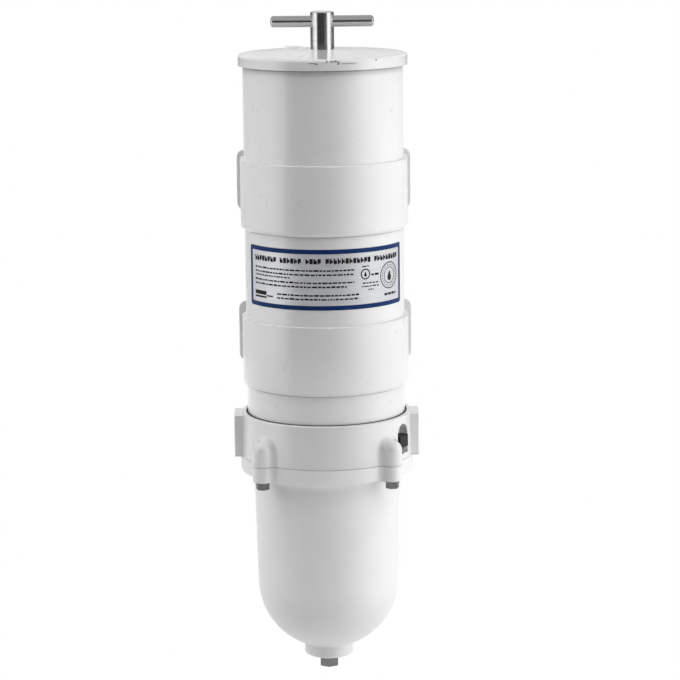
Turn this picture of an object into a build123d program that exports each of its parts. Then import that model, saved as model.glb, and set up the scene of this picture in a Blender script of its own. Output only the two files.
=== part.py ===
from build123d import *

import os
from math import cos, pi, radians, sin, sqrt

os.makedirs("parts", exist_ok=True)

# Fuel filter and water separator for a bulkhead, in millimetres.
# The origin is the centre of the four mounting holes, on the back face of the feet.
# +Z is up, +Y goes into the bulkhead, and the filter's axis stands in front of it.

# Mounting
strap_to_bulkhead = 18.4
bracket_pitch = 132.0
bolt_spacing = 114.3
mount_hole_r = 5.55
foot_width = 149.5
foot_height = 52.0
foot_thickness = 5.0
foot_corner_r = 6.5
cheek_spacing = 74.0
cheek_thickness = 6.0
cheek_fillet_r = 3.0

# Housing tube
tube_r = 66.3
tube_wall = 1.6
tube_length = 296.5
rim_width = 3.8
rim_thickness = 2.0
base_flange_width = 14.0
deck_below_mount = 123.5
seat_gap = 0.05
rim_edge_r = 0.8

# Bands and label
band_thickness = 3.3
band_height = 58.0
band_lower_edge_r = 3.0
band_upper_edge_r = 0.5
label_thickness = 0.25
label_height = 46.8
label_half_angle = 67.5
label_rise = 1.9
label_corner_r = 2.5

# Lid
lid_overhang = 3.8
lid_side_height = 9.2
lid_crown = 3.2
lid_flat_r = 12.0
lid_rim_r = 2.6
lid_lower_edge_r = 1.4
lid_skirt_gap = 0.4
lid_plate = 7.0
lid_hub_r = 15.0
lid_hub_depth = 6.0
lid_gasket_height = 3.0
lid_gasket_ledge = 1.2
lid_gasket_width = 3.4
pad_r = 8.9
pad_height = 1.5
pad_draft = 20.0
pad_edge_r = 0.6
pad_x = -23.7
pad_y = 39.6

# Handle
stem_r = 9.8
stem_height = 31.1
stem_chamfer = 0.8
stud_r = 7.93
stud_below_lid = 40.2
thread_clearance = 0.07
bar_r = 4.72
bar_length = 85.2
bar_drop = 8.2
bar_end_r = 2.6
handle_seal_r = 0.72
handle_seal_recess = 2.0
handle_seal_room = 0.25

# Head casting
ring_gap = 1.5
ring_above_rim = 0.3
rim_wall = 3.7
socket_depth = 4.3
head_height = 36.4
head_draft = 1.1
head_rim_edge_r = 0.8
head_mouth_wall = 12.6
hub_bore_below_gallery = 2.5
deck_thickness = 8.0
block_reach = 5.1
block_width = 32.0
block_below_rim = 1.5
block_edge_r = 1.2
port_r = 10.32
port_thread_length = 15.7
port_chamfer = 1.0
port_drop = 18.9
gallery_r = 6.5
beam_width = 26.0
collar_r = 17.0
collar_height = 7.5
turbine_seat_drop = 4.4
turbine_seat_thickness = 7.0
window_angle = 62.0
window_width = 18.0
window_top_drop = 6.1
window_height = 25.4
window_depth = 6.5
bolt_count = 4
bolt_start_angle = 45.0
boss_r = 8.2
boss_top_drop = 15.4
boss_overhang = 3.4
boss_fillet_r = 6.5
slot_inner_r = 30.0
slot_outer_r = 46.0
slot_half_angle = 36.0

# Window plug
plug_below_port = 2.0
plug_width = 15.0
plug_height = 10.2
plug_edge_r = 0.6
plug_chamfer = 0.4
plug_head = 8.0
plug_thread_r = 6.1
plug_thread_length = 9.0

# Check valve in the inlet
check_x = 38.0
check_chamber_r = 8.2
check_cap_r = 9.6
check_cap_thickness = 4.0
cap_slot_width = 2.0
cap_slot_depth = 1.8
check_ball_r = 5.5
check_seat_hole_r = 4.0
check_seat_height = 3.0
check_seat_drop = 19.0
check_lower_r = 6.5
check_lower_depth = 11.0
inlet_drill_r = 4.5
downcomer_x = 24.5
downcomer_r = 5.0
transfer_r = 4.5

# Return tube
return_tube_r = 11.0
return_tube_wall = 2.5
return_tube_seat = 4.5
return_tube_below_lid = 13.0
return_thread_length = 30.0
return_hole_r = 4.0
return_hole_pitch = 30.0
return_hole_rows = 3
return_tube_chamfer = 0.7

# Filter element
element_clearance = 9.7
element_headroom = 35.0
cap_plate = 1.5
cap_rim_height = 7.0
cap_rim_wall = 1.2
cap_edge_r = 0.9
pleat_count = 36
pleat_inner_r = 24.5
pleat_fold = 4.0
core_r = 22.4
core_wall = 1.2
core_slot_width = 5.0
core_slot_height = 16.0
core_slot_pitch = 26.0
core_columns = 5
grommet_lip = 1.5
grommet_reach = 18.5
grommet_neck_r = 15.4
bail_wire_r = 1.4
bail_loop_r = 32.0
bail_ear_gap = 0.6
bail_ear_thickness = 3.0
bail_ear_width = 8.0
bail_rise = 2.0
bail_pin_reach = 0.4
pin_clearance = 0.07

# Turbine and baffle
turbine_clearance = 18.0
turbine_plate = 2.0
turbine_edge_r = 0.8
turbine_hub_r = 13.0
vane_height = 13.0
vane_thickness = 1.8
vane_count = 8
vane_inner_r = 17.5
vane_edge_inset = 1.0
vane_sweep = 55.0
vane_bulge = 0.38
cone_clearance = 6.8
cone_drop = 26.0
cone_sheet = 1.5
cone_collar_r = 13.0
cone_collar_height = 3.0
turbine_bolt_r = 2.95
turbine_bolt_engagement = 7.0
turbine_bolt_flats = 10.0
turbine_bolt_head = 4.0

# Bowl
flange_thickness = 13.1
flange_edge_r = 1.2
flange_root_r = 7.6
parting_edge_r = 0.5
bowl_inset = 10.8
bowl_taper = 2.3
bowl_wall = 4.0
bowl_straight = 111.9
neck_r = 20.7
neck_drop = 5.6
neck_edge_r = 3.2
neck_fillet_r = 1.5
bowl_arc_angle = 50.0
bowl_gasket_width = 4.0
bowl_gasket_height = 2.5
bowl_gasket_inset = 6.6

# Bowl bolts
bolt_r = 3.15
bolt_hole_clearance = 0.25
bolt_flats = 10.0
bolt_head = 5.2
bolt_chamfer = 0.5
bolt_engagement = 15.0
washer_r = 6.2
washer_thickness = 1.2

# Drain
drain_thread_r = 6.33
drain_flats = 15.0
drain_head = 9.0
drain_corner_angle = 30.0
drain_chamfer = 0.7
drain_seal_r = 9.4
drain_seal_thickness = 1.9
drain_thread_length = 9.0

# Housing screws
screw_r = 2.4
screw_head_r = 4.4
screw_head = 2.8
screw_head_edge_r = 1.2
screw_length = 5.5
screw_count = 4
screw_start_angle = 45.0

# Allowances: cuts run past a face, blind holes past their screw, and edge radii stay under their wall
overcut = 1.0
hole_bottom_gap = 1.0
edge_limit = 0.9
on_plane = 0.01

# Distance from the bulkhead to the filter's axis
axis_standoff = tube_r + band_thickness + strap_to_bulkhead

# Levels on the filter's axis, all from the mounting centre
deck_z = -deck_below_mount
tube_top_z = deck_z + tube_length
head_rim_z = deck_z + socket_depth
parting_z = head_rim_z - head_height
lid_ceiling_z = tube_top_z + lid_gasket_height
lid_top_z = lid_ceiling_z + lid_plate + lid_gasket_ledge
lid_rim_z = lid_top_z - lid_crown
lid_bottom_z = lid_rim_z - lid_side_height
stem_top_z = lid_top_z + stem_height
bar_z = stem_top_z - bar_drop
port_z = head_rim_z - port_drop
plug_z = port_z - plug_below_port
collar_z = deck_z + collar_height
turbine_seat_z = parting_z - turbine_seat_drop
flange_bottom_z = parting_z - flange_thickness
bowl_end_z = parting_z - bowl_straight
label_centre_z = label_rise
upper_band_z = bracket_pitch / 2
lower_band_z = -bracket_pitch / 2

# Radii that follow from each other
tube_inner_r = tube_r - tube_wall
band_r = tube_r + band_thickness
socket_r = tube_r + ring_gap
head_r = socket_r + rim_wall
flange_r = head_r + head_draft
block_face = flange_r + block_reach
head_mouth_r = flange_r - head_mouth_wall
bolt_circle_r = flange_r + boss_overhang
bowl_r = flange_r - bowl_inset
bowl_end_r = bowl_r - bowl_taper
neck_bottom_z = bowl_end_z - bowl_end_r - neck_drop
cone_r = bowl_r - bowl_wall - cone_clearance
turbine_r = head_mouth_r - turbine_clearance
lid_r = tube_r + lid_overhang
element_r = tube_inner_r - element_clearance
return_bore_r = return_tube_r - return_tube_wall


def level(z):
    """Horizontal plane at height z, centred on the filter's axis."""
    return Plane(origin=(0, -axis_standoff, z), x_dir=(1, 0, 0), z_dir=(0, 0, 1))


def upright(angle):
    """Plane through the filter's axis. Its x points outwards, at an angle from the front towards +X."""
    outward = Vector(sin(radians(angle)), -cos(radians(angle)), 0)
    return Plane(origin=(0, -axis_standoff, 0), x_dir=outward, z_dir=outward.cross(Vector(0, 0, 1)))


def outward_face(angle, radius, z):
    """Plane square to a radius of the filter's axis. Its z points outwards and its y points up."""
    outward = Vector(sin(radians(angle)), -cos(radians(angle)), 0)
    centre = Vector(0, -axis_standoff, z) + outward * radius
    return Plane(origin=centre, x_dir=Vector(0, 0, 1).cross(outward), z_dir=outward)


def polar(radius, angle):
    """Point at a radius and an angle in degrees."""
    return (radius * cos(radians(angle)), radius * sin(radians(angle)))


def reach(edge):
    """Distance of an edge's middle from the filter's axis."""
    return Vector(edge.center().X, edge.center().Y + axis_standoff, 0).length


section = upright(90)
spin = Axis((0, -axis_standoff, 0), (0, 0, 1))


# Upper housing: tube with a rolled sealing rim and an inward base flange
base_flange_r = tube_r - base_flange_width
screw_circle_r = (base_flange_r + tube_inner_r) / 2
with BuildPart() as upper_housing:
    with BuildSketch(section):
        with BuildLine():
            Polyline(
                (tube_r, deck_z),
                (tube_r, tube_top_z),
                (tube_r - rim_width, tube_top_z),
                (tube_r - rim_width, tube_top_z - rim_thickness),
                (tube_inner_r, tube_top_z - rim_thickness),
                (tube_inner_r, deck_z + tube_wall),
                (base_flange_r, deck_z + tube_wall),
                (base_flange_r, deck_z),
                close=True,
            )
        make_face()
    revolve(axis=spin)
    top_rims = upper_housing.edges().group_by(Axis.Z)[-1]
    fillet(top_rims.sort_by(SortBy.RADIUS)[-1], min(rim_edge_r, edge_limit * rim_thickness))
    with BuildSketch(level(deck_z)):
        with PolarLocations(screw_circle_r, screw_count, screw_start_angle):
            Circle(screw_r + bolt_hole_clearance)
    extrude(amount=tube_wall, mode=Mode.SUBTRACT)
upper_housing.part.label = "upper_housing"
export_step(upper_housing.part, "parts/upper_housing.step")


# Housing screws: pan heads that hold the base flange to the head's deck
with BuildPart() as housing_screws:
    with BuildSketch(level(deck_z + tube_wall)):
        with PolarLocations(screw_circle_r, screw_count, screw_start_angle):
            Circle(screw_head_r)
    extrude(amount=screw_head)
    fillet(housing_screws.edges().group_by(Axis.Z)[-1], min(screw_head_edge_r, edge_limit * screw_head))
    with BuildSketch(level(deck_z + tube_wall)):
        with PolarLocations(screw_circle_r, screw_count, screw_start_angle):
            Circle(screw_r)
    extrude(amount=-(tube_wall + screw_length))
housing_screws.part.label = "housing_screws"
export_step(housing_screws.part, "parts/housing_screws.step")


# Bands: straps round the tube with a crisp top edge and a rounded lower edge
for band_name, band_z in (("upper_band", upper_band_z), ("lower_band", lower_band_z)):
    with BuildPart() as band:
        with BuildSketch(level(band_z - band_height / 2)):
            Circle(band_r)
            Circle(tube_r + seat_gap, mode=Mode.SUBTRACT)
        extrude(amount=band_height)
        outer_edges = band.edges().filter_by(GeomType.CIRCLE).sort_by(SortBy.RADIUS)[-2:]
        fillet(outer_edges.sort_by(Axis.Z)[0], min(band_lower_edge_r, edge_limit * band_thickness))
        outer_edges = band.edges().filter_by(GeomType.CIRCLE).group_by(Axis.Z)[-1]
        fillet(outer_edges.sort_by(SortBy.RADIUS)[-1], band_upper_edge_r)
    band.part.label = band_name
    export_step(band.part, f"parts/{band_name}.step")


# Brackets: a foot against the bulkhead and two cheeks that are fitted to the band
for bracket_name, bracket_z in (("upper_bracket", upper_band_z), ("lower_bracket", lower_band_z)):
    with BuildPart() as bracket:
        with BuildSketch(Plane.XZ.offset(foot_thickness)):
            with Locations((0, bracket_z)):
                RectangleRounded(foot_width, foot_height, foot_corner_r)
        extrude(amount=-foot_thickness)
        with BuildSketch(level(bracket_z - foot_height / 2)):
            with Locations((-cheek_spacing / 2, axis_standoff), (cheek_spacing / 2, axis_standoff)):
                Rectangle(cheek_thickness, axis_standoff, align=(Align.CENTER, Align.MAX))
        extrude(amount=foot_height)
        with BuildSketch(level(bracket_z - foot_height / 2)):
            Circle(band_r + seat_gap)
            with Locations((0, -tube_r)):
                Rectangle(2 * band_r, 2 * tube_r)
        extrude(amount=foot_height, mode=Mode.SUBTRACT)
        inner_corners = (
            bracket.edges()
            .filter_by(Axis.Z)
            .filter_by_position(Axis.Y, -foot_thickness - on_plane, -foot_thickness + on_plane)
            .filter_by_position(Axis.X, -cheek_spacing, cheek_spacing)
        )
        fillet(inner_corners, cheek_fillet_r)
        with BuildSketch(Plane.XZ):
            with Locations((-bolt_spacing / 2, bracket_z), (bolt_spacing / 2, bracket_z)):
                Circle(mount_hole_r)
        extrude(amount=foot_thickness, mode=Mode.SUBTRACT)
    bracket.part.label = bracket_name
    export_step(bracket.part, f"parts/{bracket_name}.step")


# Label: thin foil plate wrapped round the front of the tube
with BuildPart() as label:
    with BuildSketch(upright(-label_half_angle)):
        with Locations((tube_r + seat_gap, label_centre_z)):
            Rectangle(label_thickness, label_height, align=(Align.MIN, Align.CENTER))
    revolve(axis=spin, revolution_arc=2 * label_half_angle)
    corners = label.edges().filter_by(lambda edge: edge.length < 2 * label_thickness)
    fillet(corners, label_corner_r)
label.part.label = "label"
export_step(label.part, "parts/label.step")


# Lid: slightly coned cast cover with a skirt, a gasket groove, a centre hub and a low pad
gasket_outer_r = tube_r + lid_skirt_gap
gasket_inner_r = gasket_outer_r - lid_gasket_width
pad_reach = sqrt(pad_x**2 + pad_y**2)
pad_foot_z = lid_rim_z + lid_crown * (lid_r - pad_reach) / (lid_r - lid_flat_r)
pad_top_z = pad_foot_z + pad_height
with BuildPart() as lid:
    with BuildSketch(section):
        with BuildLine():
            Polyline(
                (stud_r + thread_clearance, lid_top_z),
                (lid_flat_r, lid_top_z),
                (lid_r, lid_rim_z),
                (lid_r, lid_bottom_z),
                (gasket_outer_r, lid_bottom_z),
                (gasket_outer_r, lid_ceiling_z),
                (gasket_inner_r, lid_ceiling_z),
                (gasket_inner_r, lid_top_z - lid_plate),
                (lid_hub_r, lid_top_z - lid_plate),
                (lid_hub_r, lid_top_z - lid_plate - lid_hub_depth),
                (stud_r + thread_clearance, lid_top_z - lid_plate - lid_hub_depth),
                close=True,
            )
        make_face()
    revolve(axis=spin)
    fillet(lid.edges().group_by(Axis.Z)[0].sort_by(SortBy.RADIUS)[-1], lid_lower_edge_r)
    rims = lid.edges().filter_by(GeomType.CIRCLE)
    rim_edges = rims.filter_by_position(Axis.Z, lid_rim_z - on_plane, lid_rim_z + on_plane)
    fillet(rim_edges, lid_rim_r)
    with BuildSketch(level(lid_rim_z)):
        with Locations((pad_x, pad_y)):
            Circle(pad_r)
    extrude(amount=pad_top_z - lid_rim_z, taper=pad_draft)
    rims = lid.edges().filter_by(GeomType.CIRCLE)
    pad_edges = rims.filter_by_position(Axis.Z, pad_top_z - on_plane, pad_top_z + on_plane)
    fillet(pad_edges, min(pad_edge_r, edge_limit * pad_height / 2))
    with BuildSketch(level(lid_top_z)):
        Circle(stud_r + thread_clearance + 2 * handle_seal_r + handle_seal_room)
    extrude(amount=-handle_seal_recess, mode=Mode.SUBTRACT)
lid.part.label = "lid"
export_step(lid.part, "parts/lid.step")


# Lid gasket: square ring on the tube's rolled rim
with BuildPart() as lid_gasket:
    with BuildSketch(level(tube_top_z)):
        Circle(gasket_outer_r - seat_gap)
        Circle(gasket_inner_r + seat_gap, mode=Mode.SUBTRACT)
    extrude(amount=lid_gasket_height)
lid_gasket.part.label = "lid_gasket"
export_step(lid_gasket.part, "parts/lid_gasket.step")


# Handle stem: visible round stem above the lid and a threaded stud below it
with BuildPart() as t_handle_stem:
    with BuildSketch(level(lid_top_z)):
        Circle(stem_r)
    extrude(amount=stem_height)
    chamfer(t_handle_stem.edges().group_by(Axis.Z)[-1], stem_chamfer)
    with BuildSketch(level(lid_top_z)):
        Circle(stud_r)
    extrude(amount=-stud_below_lid)
    chamfer(t_handle_stem.edges().group_by(Axis.Z)[0], stem_chamfer)
    with BuildSketch(Plane.YZ):
        with Locations((-axis_standoff, bar_z)):
            Circle(bar_r + seat_gap)
    extrude(amount=stem_r, both=True, mode=Mode.SUBTRACT)
t_handle_stem.part.label = "t_handle_stem"
export_step(t_handle_stem.part, "parts/t_handle_stem.step")


# Handle bar: round bar with rounded ends
with BuildPart() as t_handle_bar:
    with BuildSketch(Plane.YZ):
        with Locations((-axis_standoff, bar_z)):
            Circle(bar_r)
    extrude(amount=bar_length / 2, both=True)
    fillet(t_handle_bar.edges().filter_by(GeomType.CIRCLE), bar_end_r)
t_handle_bar.part.label = "t_handle_bar"
export_step(t_handle_bar.part, "parts/t_handle_bar.step")


# Handle seal: o-ring on the stud, in the recess under the stem
with BuildPart() as t_handle_seal:
    with BuildSketch(section):
        with Locations((stud_r + thread_clearance + handle_seal_r, lid_top_z - handle_seal_r)):
            Circle(handle_seal_r)
    revolve(axis=spin)
t_handle_seal.part.label = "t_handle_seal"
export_step(t_handle_seal.part, "parts/t_handle_seal.step")


# Head: one casting with a drafted wall, a tube socket, a deck and a turbine seat
window_top_z = head_rim_z - window_top_drop
window_arch_z = window_top_z - window_width / 2
window_bottom_z = window_top_z - window_height
block_top_z = head_rim_z - block_below_rim
dome_z = head_rim_z - boss_top_drop - boss_r
check_seat_top_z = deck_z - check_seat_drop + check_seat_height
check_ledge_z = deck_z - check_seat_drop
check_bottom_z = check_ledge_z - check_lower_depth
transfer_z = check_seat_top_z + check_ball_r
thread_end_x = block_face - port_chamfer - port_thread_length
hub_bore_bottom_z = port_z - gallery_r - hub_bore_below_gallery
with BuildPart() as head:
    with BuildSketch(section):
        with BuildLine():
            Polyline(
                (0, deck_z),
                (socket_r, deck_z),
                (socket_r, head_rim_z),
                (head_r, head_rim_z),
                (flange_r, parting_z),
                (head_mouth_r, parting_z),
                (head_mouth_r, deck_z - deck_thickness),
                (0, deck_z - deck_thickness),
                close=True,
            )
        make_face()
    revolve(axis=spin)
    rim_edges = head.edges().group_by(Axis.Z)[-1]
    fillet(rim_edges.sort_by(SortBy.RADIUS)[-1], min(head_rim_edge_r, edge_limit * rim_wall))
    # Four bolt bosses with domed tops, blended into the wall
    with BuildSketch(level(parting_z)):
        with PolarLocations(bolt_circle_r, bolt_count, bolt_start_angle):
            Circle(boss_r)
    extrude(amount=dome_z - parting_z)
    with Locations(level(dome_z)):
        with PolarLocations(bolt_circle_r, bolt_count, bolt_start_angle):
            Sphere(boss_r)
    boss_seams = (
        head.edges()
        .filter_by(GeomType.BSPLINE)
        .filter_by_position(Axis.Z, parting_z + on_plane, head_rim_z - on_plane)
        .filter_by(lambda edge: reach(edge) > head_mouth_r)
    )
    fillet(boss_seams, boss_fillet_r)
    # The mouth below the deck is cleared again where the bosses reach into it
    with BuildSketch(level(parting_z)):
        Circle(head_mouth_r)
    extrude(amount=deck_z - deck_thickness - parting_z, mode=Mode.SUBTRACT)
    fillet(head.faces().sort_by(Axis.Z)[0].outer_wire().edges(), parting_edge_r)
    # Two square port blocks and the beam that joins them under the deck
    with BuildSketch(level(parting_z)):
        Rectangle(2 * block_face, block_width)
        Circle(head_mouth_r, mode=Mode.SUBTRACT)
    extrude(amount=block_top_z - parting_z)
    block_edges = (
        head.edges()
        .filter_by(Axis.Z)
        .filter_by(lambda edge: abs(abs(edge.center().X) - block_face) < on_plane)
    )
    fillet(block_edges, block_edge_r)
    with BuildSketch(level(parting_z)):
        Rectangle(2 * (head_mouth_r + overcut), beam_width)
    extrude(amount=deck_z - parting_z)
    # Collar for the return tube and the round seat of the turbine
    with BuildSketch(level(turbine_seat_z)):
        Circle(turbine_r)
    extrude(amount=turbine_seat_thickness)
    with BuildSketch(level(turbine_seat_z)):
        Circle(collar_r)
    extrude(amount=collar_z - turbine_seat_z)
    # Socket for the tube
    with BuildSketch(level(deck_z)):
        Circle(socket_r)
        Circle(collar_r, mode=Mode.SUBTRACT)
    extrude(amount=socket_depth + overcut, mode=Mode.SUBTRACT)
    # Two curved slots through the deck, by which fuel rises to the element
    slot_middle_r = (slot_inner_r + slot_outer_r) / 2
    with BuildSketch(level(deck_z)):
        for slot_middle in (90, 270):
            with BuildLine() as slot_line:
                CenterArc((0, 0), slot_middle_r, slot_middle - slot_half_angle, 2 * slot_half_angle)
            SlotArc(slot_line.edge(), slot_outer_r - slot_inner_r)
    extrude(amount=-deck_thickness, mode=Mode.SUBTRACT)
    # Arched window and the hole for its plug
    with BuildSketch(outward_face(window_angle, flange_r + overcut, 0)):
        with Locations((0, window_arch_z)):
            Circle(window_width / 2)
        with Locations((0, window_arch_z)):
            Rectangle(window_width, window_arch_z - window_bottom_z, align=(Align.CENTER, Align.MAX))
    extrude(amount=-(window_depth + head_draft + overcut), mode=Mode.SUBTRACT)
    with BuildSketch(outward_face(window_angle, flange_r, plug_z)):
        Circle(plug_thread_r + seat_gap)
    extrude(amount=-(flange_r - head_mouth_r + overcut), mode=Mode.SUBTRACT)
    # Threaded ports and the outlet gallery
    for side in (-1, 1):
        with BuildSketch(outward_face(side * 90, block_face, port_z)):
            Circle(port_r)
        extrude(amount=-(port_chamfer + port_thread_length), mode=Mode.SUBTRACT)
    port_rims = (
        head.edges()
        .filter_by(GeomType.CIRCLE)
        .filter_by(lambda edge: abs(abs(edge.arc_center.X) - block_face) < on_plane)
        .filter_by(lambda edge: abs(edge.radius - port_r) < on_plane)
    )
    chamfer(port_rims, port_chamfer)
    with BuildSketch(outward_face(90, thread_end_x, port_z)):
        Circle(gallery_r)
    extrude(amount=-thread_end_x, mode=Mode.SUBTRACT)
    with BuildSketch(level(collar_z)):
        Circle(return_tube_r + seat_gap)
    extrude(amount=-(collar_height + return_tube_seat), mode=Mode.SUBTRACT)
    with BuildSketch(level(deck_z)):
        Circle(return_bore_r)
    extrude(amount=hub_bore_bottom_z - deck_z, mode=Mode.SUBTRACT)
    # Check valve chamber, its inlet from below the seat and the way down to the turbine
    for bore_r, bore_top_z, bore_bottom_z in (
        (check_cap_r + seat_gap, deck_z, deck_z - check_cap_thickness),
        (check_chamber_r, deck_z, check_ledge_z),
        (check_lower_r, deck_z, check_bottom_z),
    ):
        with BuildSketch(level(bore_top_z)):
            with Locations((-check_x, 0)):
                Circle(bore_r)
        extrude(amount=bore_bottom_z - bore_top_z, mode=Mode.SUBTRACT)
    inlet_from = Vector(-thread_end_x - overcut, -axis_standoff, port_z - gallery_r / 2)
    inlet_to = Vector(-check_x, -axis_standoff, check_bottom_z + inlet_drill_r)
    with BuildSketch(Plane(origin=inlet_from, z_dir=inlet_to - inlet_from)):
        Circle(inlet_drill_r)
    extrude(amount=(inlet_to - inlet_from).length, mode=Mode.SUBTRACT)
    with BuildSketch(outward_face(-90, check_x, transfer_z)):
        Circle(transfer_r)
    extrude(amount=-(check_x - downcomer_x), mode=Mode.SUBTRACT)
    with BuildSketch(level(turbine_seat_z)):
        with Locations((-downcomer_x, 0)):
            Circle(downcomer_r)
    extrude(amount=transfer_z - turbine_seat_z, mode=Mode.SUBTRACT)
    # Blind holes for the bowl bolts, the housing screws and the turbine bolt
    with BuildSketch(level(parting_z)):
        with PolarLocations(bolt_circle_r, bolt_count, bolt_start_angle):
            Circle(bolt_r + seat_gap)
    extrude(amount=bolt_engagement + hole_bottom_gap, mode=Mode.SUBTRACT)
    with BuildSketch(level(deck_z)):
        with PolarLocations(screw_circle_r, screw_count, screw_start_angle):
            Circle(screw_r + seat_gap)
    extrude(amount=-(screw_length + hole_bottom_gap), mode=Mode.SUBTRACT)
    with BuildSketch(level(turbine_seat_z)):
        Circle(turbine_bolt_r + seat_gap)
    extrude(amount=turbine_bolt_engagement + hole_bottom_gap, mode=Mode.SUBTRACT)
head.part.label = "head"
export_step(head.part, "parts/head.step")


# Housing ring: black seal ring between the tube and the head's rim
with BuildPart() as housing_ring:
    with BuildSketch(level(deck_z)):
        Circle(socket_r - seat_gap)
        Circle(tube_r + seat_gap, mode=Mode.SUBTRACT)
    extrude(amount=socket_depth + ring_above_rim)
housing_ring.part.label = "housing_ring"
export_step(housing_ring.part, "parts/housing_ring.step")


# Port plug: oblong head in the window and a threaded shank through the wall
plug_seat = outward_face(window_angle, flange_r - window_depth - head_draft, plug_z)
with BuildPart() as port_plug:
    with BuildSketch(plug_seat):
        RectangleRounded(plug_width, plug_height, plug_edge_r)
    extrude(amount=plug_head)
    plug_face = port_plug.faces().sort_by(Axis(plug_seat.origin, plug_seat.z_dir))[-1]
    chamfer(plug_face.edges(), plug_chamfer)
    with BuildSketch(plug_seat):
        Circle(plug_thread_r)
    extrude(amount=-plug_thread_length)
port_plug.part.label = "port_plug"
export_step(port_plug.part, "parts/port_plug.step")


# Check seat: ring on the ledge of the valve chamber
with BuildPart() as check_seat:
    with BuildSketch(level(check_ledge_z)):
        with Locations((-check_x, 0)):
            Circle(check_chamber_r - seat_gap)
            Circle(check_seat_hole_r, mode=Mode.SUBTRACT)
    extrude(amount=check_seat_height)
check_seat.part.label = "check_seat"
export_step(check_seat.part, "parts/check_seat.step")


# Check ball: rests on the seat and lifts with the flow
ball_z = check_seat_top_z + sqrt(check_ball_r**2 - check_seat_hole_r**2) + seat_gap
with BuildPart() as check_ball:
    with Locations(level(ball_z)):
        with Locations((-check_x, 0)):
            Sphere(check_ball_r)
check_ball.part.label = "check_ball"
export_step(check_ball.part, "parts/check_ball.step")


# Check cap: slotted screw cap, flush with the deck, over the valve chamber
with BuildPart() as check_cap:
    with BuildSketch(level(deck_z)):
        with Locations((-check_x, 0)):
            Circle(check_cap_r)
    extrude(amount=-check_cap_thickness)
    with BuildSketch(level(deck_z)):
        with Locations((-check_x, 0)):
            Rectangle(2 * check_cap_r, cap_slot_width)
    extrude(amount=-cap_slot_depth, mode=Mode.SUBTRACT)
check_cap.part.label = "check_cap"
export_step(check_cap.part, "parts/check_cap.step")


# Return tube: stands in the collar, takes clean fuel through cross holes and the handle's thread at its top
return_top_z = lid_top_z - lid_plate - lid_hub_depth - return_tube_below_lid
stud_bore_r = stud_r + thread_clearance
with BuildPart() as return_tube:
    with BuildSketch(level(deck_z - return_tube_seat)):
        Circle(return_tube_r)
    extrude(amount=return_top_z - deck_z + return_tube_seat)
    chamfer(return_tube.edges().group_by(Axis.Z)[-1], min(return_tube_chamfer, edge_limit * return_tube_wall))
    with BuildSketch(level(return_top_z)):
        Circle(stud_bore_r)
    extrude(amount=-return_thread_length, mode=Mode.SUBTRACT)
    with BuildSketch(level(return_top_z - return_thread_length)):
        Circle(return_bore_r)
    extrude(amount=deck_z - return_tube_seat - return_top_z + return_thread_length, mode=Mode.SUBTRACT)
    for hole_index in range(return_hole_rows):
        hole_z = collar_z + (hole_index + 1) * return_hole_pitch
        for hole_plane in (Plane.YZ, Plane.XZ.offset(axis_standoff)):
            hole_x = -axis_standoff if hole_plane == Plane.YZ else 0
            with BuildSketch(hole_plane):
                with Locations((hole_x, hole_z)):
                    Circle(return_hole_r)
            extrude(amount=return_tube_r, both=True, mode=Mode.SUBTRACT)
return_tube.part.label = "return_tube"
export_step(return_tube.part, "parts/return_tube.step")


# Filter element: two caps, pleated media, slotted core, two grommets and a wire bail
element_bottom_z = collar_z + grommet_lip
element_top_z = tube_top_z - element_headroom
cap_hole_r = grommet_neck_r + seat_gap
ear_x = bail_loop_r + bail_wire_r + bail_ear_gap + bail_ear_thickness / 2
ear_height = bail_rise + bail_ear_width / 2
for cap_name, plate_z, inward in (
    ("element_bottom_cap", element_bottom_z, 1),
    ("element_top_cap", element_top_z, -1),
):
    with BuildPart() as element_cap:
        with BuildSketch(level(plate_z)):
            Circle(element_r)
            Circle(cap_hole_r, mode=Mode.SUBTRACT)
        extrude(amount=inward * cap_plate)
        with BuildSketch(level(plate_z)):
            Circle(element_r)
            Circle(element_r - cap_rim_wall, mode=Mode.SUBTRACT)
        extrude(amount=inward * cap_rim_height)
        outer_edge = element_cap.edges().filter_by(GeomType.CIRCLE).group_by(Axis.Z)[0 if inward > 0 else -1]
        fillet(outer_edge.sort_by(SortBy.RADIUS)[-1], min(cap_edge_r, edge_limit * cap_rim_wall))
        if cap_name == "element_top_cap":
            for ear_side in (-1, 1):
                with BuildSketch(Plane.YZ.offset(ear_side * ear_x)):
                    with Locations((-axis_standoff, element_top_z)):
                        Rectangle(bail_ear_width, bail_rise, align=(Align.CENTER, Align.MIN))
                    with Locations((-axis_standoff, element_top_z + bail_rise)):
                        Circle(bail_ear_width / 2)
                        Circle(bail_wire_r + pin_clearance, mode=Mode.SUBTRACT)
                    with Locations((-axis_standoff, element_top_z)):
                        Rectangle(
                            2 * bail_ear_width,
                            ear_height,
                            align=(Align.CENTER, Align.MAX),
                            mode=Mode.SUBTRACT,
                        )
                extrude(amount=bail_ear_thickness / 2, both=True)
    element_cap.part.label = cap_name
    export_step(element_cap.part, f"parts/{cap_name}.step")

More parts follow.
